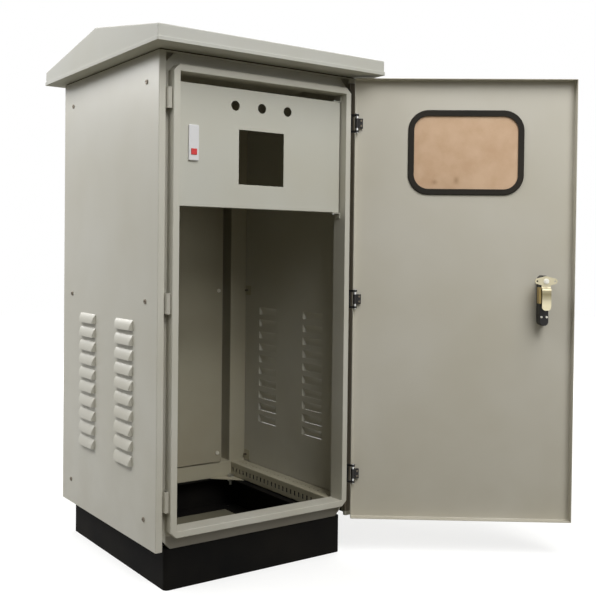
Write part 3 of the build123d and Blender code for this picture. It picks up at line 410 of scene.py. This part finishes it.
# Gutters of the front frame, beside and below the doorway. The photograph shows them dark and
# brown, most of all behind the hinges, and one paint stands for both grime and shade there.
(frame_left, _, frame_foot), (frame_right, _, frame_head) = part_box("front_frame")
gutter_width = 0.028
gutter_front, gutter_rear = -0.3150, -0.2840
hinge_gutter_front = -0.3180
doorway_half = 0.27
sill_height = 0.034
inner_half = frame_right - gutter_width
gutter_grime_and_painted_shade = [
    {
        "low": (inner_half, hinge_gutter_front, frame_foot + 0.01),
        "high": (frame_right + 0.0005, gutter_rear, frame_head - 0.01),
        "edge": 0.003,
        "paint": grime_and_shade_brown,
        "share": 0.9,
    },
    {
        "low": (frame_left + 0.017, gutter_front, frame_foot + 0.01),
        "high": (-inner_half, gutter_rear, frame_head - 0.04),
        "edge": 0.003,
        "paint": grime_and_shade_brown,
        "share": 0.25,
    },
    {
        "low": (-doorway_half, gutter_front, frame_foot - 0.01),
        "high": (doorway_half, gutter_rear, frame_foot + sill_height),
        "edge": 0.004,
        "paint": grime_and_shade_brown,
        "share": 0.6,
    },
]

# Hollows of the perforated rails. Near black is painted behind the slots, so that they read
# as dark as in the photograph, and also on the panels and base flats that close the hollows.
rail_low, rail_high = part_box("perforated_rail_right")
face_cover, end_cover, top_cover = 0.0007, 0.0005, 0.0013
past_flange, below_rail = 0.0022, 0.012
hollow_start = rail_low[0] + face_cover
hollow_end = rail_high[0] + past_flange
rail_hollows = [
    {
        "low": (left, rail_low[1] + end_cover, rail_low[2] - below_rail),
        "high": (right, rail_high[1] - end_cover, rail_high[2] - top_cover),
        "edge": 0.0004,
        "paint": deep_shade,
        "share": 1.0,
    }
    for left, right in ((hollow_start, hollow_end), (-hollow_end, -hollow_start))
]

# Body panels and front frame. Folded steel sheet with the light grey-beige coat; the panels
# are screwed to the frame and the posts from outside.
# The coat carries the gutters' painted shade and the rails' painted hollow shade.
grey_coat = powder_coat(
    "grey_powder_coat",
    from_print(197, 195, 185),
    from_print(190, 187, 174),
    dust_brown,
    roughness=0.36,
    peel_depth=0.00006,
    dust=0.22,
    marks_and_painted_light=gutter_grime_and_painted_shade + rail_hollows,
)
dress(
    grey_coat,
    "side_panel_left",
    "side_panel_right",
    "rear_panel",
    "top_plate",
    "front_frame",
    "gutter_brackets_left",
    "gutter_brackets_right",
)

# Canopy. Folded from one sheet, with hemmed eaves, and bolted down from inside. Its grey is
# cooler and chalkier than the body's, as in the photograph.
canopy_coat = powder_coat(
    "canopy_powder_coat",
    from_print(192, 192, 186),
    from_print(187, 186, 176),
    dust_brown,
    roughness=0.62,
    gloss=0.2,
    peel_depth=0.00006,
    dust=0.16,
)
dress(canopy_coat, "canopy")

# Inner steelwork. The posts, channels and rails are folded steel with a powder coat, painted
# darker and warmer than the body's as painted shade inside the cabinet, and the mounting plate
# stands in front of them.
inner_coat_with_painted_shade = powder_coat(
    "inner_powder_coat_with_painted_shade",
    from_print(181, 176, 156),
    from_print(172, 166, 144),
    dust_brown,
    roughness=0.55,
    peel_depth=0.00005,
    dust=0.3,
    marks_and_painted_light=rail_hollows,
)
dress(
    inner_coat_with_painted_shade,
    "rear_post_left",
    "rear_post_right",
    "base_frame",
    "top_channel",
    "plate_rails",
    "perforated_rail_left",
    "perforated_rail_right",
)

# Mounting plate. A flat plate of thicker sheet that carries the equipment, screwed to the rails
# behind it. Its paint is chosen darker and browner to match the photograph, as painted shade
# deep in the cabinet.
plate_coat_with_painted_shade = powder_coat(
    "plate_powder_coat_with_painted_shade",
    from_print(168, 163, 143),
    from_print(158, 151, 130),
    dust_brown,
    roughness=0.55,
    peel_depth=0.00005,
    dust=0.3,
)
dress(plate_coat_with_painted_shade, "mounting_plate")

# Plinth. A ring of thicker folded sheet with a black coat, bolted under the base frame and
# dusty where it meets the ground.
black_coat = powder_coat(
    "black_powder_coat",
    from_print(13, 13, 13),
    from_print(18, 17, 16),
    from_print(62, 58, 50),
    roughness=0.7,
    peel_depth=0.00008,
    dust=0.12,
    gloss=0.05,
)
dress(black_coat, "plinth")

# Door. One sheet folded to a pan, with the same kind of coat as the body. The paint is a
# touch warmer on both faces, after the inside face in the photograph.
door_coat = powder_coat(
    "door_powder_coat",
    from_print(194, 190, 178),
    from_print(187, 182, 167),
    dust_brown,
    roughness=0.46,
    peel_depth=0.00006,
    dust=0.12,
)
dress(door_coat, "door_panel")

# Swing panel. A shallow folded tray of the same coat, behind the doorway. It swings on two
# pins in tabs at its right edge.
panel_coat = powder_coat(
    "panel_powder_coat",
    from_print(190, 190, 181),
    from_print(186, 184, 171),
    dust_brown,
    roughness=0.4,
    peel_depth=0.00005,
    dust=0.1,
)
dress(panel_coat, "instrument_panel", "pivot_tabs")

# Screws, pins and bolts. Turned and rolled steel, plated with zinc: bright or white inside, and
# dark on the outside of the panels. The white is bright and only partly metal, which paints in
# part of its reflection, and the dark of the screws outside is partly painted shade.
plating_relief = 0.00003


def plated_metal(name, plate, tint, roughness, metal=1.0, marks_and_painted_light=()):
    """Plated steel, with a fine speckle and cloudy patches in the plating."""
    material, tree, shader = empty_material(name)
    texture = place_group(tree, coat_texture, peel=0.6, speckle=0.8)
    cloudy = blend_colours(tree, texture.outputs["Mottle"], plate, tint)
    speckled = blend_colours(tree, texture.outputs["Grain"], cloudy, plate)
    tree.links.new(stained_and_shaded(tree, speckled, marks_and_painted_light), shader.inputs["Base Color"])
    shader.inputs["Metallic"].default_value = metal
    vary_roughness(tree, texture, roughness - 0.06, roughness + 0.1, shader)
    bump(tree, texture.outputs["Height"], plating_relief, shader)
    return material


bright_zinc = plated_metal(
    "bright_zinc", from_print(214, 216, 216), from_print(190, 190, 184), roughness=0.3
)
dress(
    bright_zinc,
    "canopy_bolts",
    "plinth_bolts",
    "hinge_pins",
    "hinge_leaf_screws",
    "lock_plug",
    "lock_spindle",
    "lever_pin",
    "pivot_pins",
    "latch_bolt",
)
# Bright colour with little metal: partly a painted reflection.
white_zinc_with_painted_sheen = plated_metal(
    "white_zinc_with_painted_sheen",
    from_print(238, 236, 226),
    from_print(214, 208, 190),
    roughness=0.34,
    metal=0.35,
)
dress(white_zinc_with_painted_sheen, "mounting_plate_screws", "lock_screws", "cam_bolt", "cam_washer")
# Dark colour that is partly painted shade.
dark_zinc_with_painted_shade = plated_metal(
    "dark_zinc_with_painted_shade", from_print(112, 104, 92), from_print(84, 77, 67), roughness=0.46
)
dress(
    dark_zinc_with_painted_shade,
    "side_panel_screws_left",
    "side_panel_screws_right",
    "rear_panel_screws",
    "hinge_block_screws",
)

# Hinges, lock housing, base and lever. Die-cast zinc with a black coat. The hinges are
# screwed to the frame and the door, and the lock is clamped through the door.
black_casting = powder_coat(
    "black_casting",
    from_print(24, 23, 23),
    from_print(33, 31, 30),
    from_print(84, 78, 68),
    roughness=0.42,
    peel_depth=0.0001,
    dust=0.08,
    gloss=0.3,
)
dress(
    black_casting, "hinge_leaves", "hinge_door_blocks", "lock_base", "lock_housing", "lock_lever"
)

# Lock cam. Punched steel, pale yellow passivated and slightly cloudy. The photograph shows it
# olive below the joggle and pale at the tongue's tip, and both are painted on: the olive as
# painted shade and the pale tip as a painted reflection of the curved tongue.
cam_low, cam_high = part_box("lock_cam")
around_cam = 0.05
olive_foot, olive_head = 0.700, 0.7385
pale_foot, pale_head = 0.660, 0.706
pale_passivate = plated_metal(
    "pale_passivate",
    from_print(198, 190, 162),
    from_print(190, 176, 138),
    roughness=0.42,
    metal=0.5,
    marks_and_painted_light=[
        {
            "low": (cam_low[0] - around_cam, cam_low[1] - around_cam, foot),
            "high": (cam_high[0] + around_cam, cam_high[1] + around_cam, head),
            "edge": edge,
            "paint": paint,
            "share": share,
        }
        for foot, head, edge, paint, share in (
            (olive_foot, olive_head, 0.018, from_print(122, 112, 78), 0.85),
            (pale_foot, pale_head, 0.016, from_print(232, 222, 188), 0.8),
        )
    ],
)
dress(pale_passivate, "lock_cam")

# Lock clamp. Bent steel strip beside the housing, passivated like the cam, and a deeper and
# browner yellow than the cam in the photograph.
gold_passivate = plated_metal(
    "gold_passivate",
    from_print(192, 168, 112),
    from_print(160, 128, 76),
    roughness=0.38,
    metal=0.8,
)
dress(gold_passivate, "lock_clamp")

# Window gasket. Extruded black rubber with a dull bloom. It grips the door's sheet on one
# side and the pane on the other.
fresh_rubber, bloomed_rubber = from_print(30, 28, 24), from_print(43, 39, 33)
rubber_gloss = 0.15
rubber_relief = 0.00005
rubber, tree, shader = empty_material("gasket_rubber")
texture = place_group(tree, coat_texture, peel=0.7, speckle=1.0)
rubber_colour = blend_colours(tree, texture.outputs["Mottle"], fresh_rubber, bloomed_rubber)
tree.links.new(rubber_colour, shader.inputs["Base Color"])
vary_roughness(tree, texture, 0.62, 0.8, shader)
shader.inputs["Specular IOR Level"].default_value = rubber_gloss
bump(tree, texture.outputs["Height"], rubber_relief, shader)
dress(rubber, "window_gasket")

# Canopy seal. A flat strip between top plate and canopy, which the photograph doesn't show. It
# is taken to be closed-cell foam, and its brown is painted shade under the canopy's eaves.
seal_foam_with_painted_shade = powder_coat(
    "sealing_foam_with_painted_shade",
    from_print(104, 92, 74),
    from_print(86, 75, 58),
    dust_brown,
    roughness=0.8,
    peel_depth=0.0004,
    dust=0.2,
    gloss=0.1,
)
dress(seal_foam_with_painted_shade, "canopy_seal")

# Window pane. It is read as clear acrylic, still under its tan masking paper. The paper is
# cloudy and has two brown smudges near the bottom.
paper, tree, shader = empty_material("masking_paper")
spot = tree.nodes.new("ShaderNodeTexCoord").outputs["Object"]
cloud_cells, fibre_cells = 22.0, 420.0
common_fibre = (0.3, 0.7)
fibre_share, fibre_relief = 0.2, 0.00004
clouds = stretch(tree, noise(tree, spot, cloud_cells, detail=6.0), *common_noise)
fibres = stretch(tree, noise(tree, spot, fibre_cells, detail=3.0), *common_fibre)
tan = blend_colours(tree, clouds, from_print(206, 175, 144), from_print(193, 159, 127))
paper_colour = blend_colours(
    tree, reckon(tree, "MULTIPLY", fibres, fibre_share), tan, from_print(212, 184, 154)
)
damp_brown = from_print(142, 110, 74)
left_smudge = (Vector((0.4685, -0.4350, 1.0200)), Vector((0.009, 0.020, 0.009)))
right_smudge = (Vector((0.5160, -0.4710, 1.0250)), Vector((0.008, 0.019, 0.012)))
damp_patch = (Vector((0.4950, -0.4600, 1.0175)), Vector((0.065, 0.070, 0.0275)))
smudges = [
    {
        "low": place - reach,
        "high": place + reach,
        "edge": edge,
        "paint": damp_brown,
        "share": share,
    }
    for (place, reach), edge, share in (
        (left_smudge, 0.010, 0.75),
        (right_smudge, 0.010, 0.75),
        (damp_patch, 0.040, 0.22),
    )
]
tree.links.new(stained_and_shaded(tree, paper_colour, smudges), shader.inputs["Base Color"])
paper_roughness, paper_gloss = 0.6, 0.3
shader.inputs["Roughness"].default_value = paper_roughness
shader.inputs["Specular IOR Level"].default_value = paper_gloss
bump(tree, fibres, fibre_relief, shader)
dress(paper, "window_pane")

# Latch of the swing panel. A white moulded body with a red push button, set in an opening
# near the panel's left edge.
mould_relief = 0.00003


def moulded_plastic(name, colour, tint, roughness):
    """Moulded plastic with a faint texture from its mould."""
    material, tree, shader = empty_material(name)
    texture = place_group(tree, coat_texture, peel=0.4, speckle=1.0)
    clouded = blend_colours(tree, texture.outputs["Mottle"], colour, tint)
    tree.links.new(clouded, shader.inputs["Base Color"])
    vary_roughness(tree, texture, roughness - 0.04, roughness + 0.08, shader)
    bump(tree, texture.outputs["Height"], mould_relief, shader)
    return material


white_plastic = moulded_plastic(
    "white_plastic", from_print(222, 222, 222), from_print(212, 212, 214), roughness=0.36
)
red_plastic = moulded_plastic(
    "red_plastic", from_print(214, 62, 62), from_print(196, 48, 50), roughness=0.3
)
dress(white_plastic, "latch_body")
dress(red_plastic, "latch_button")
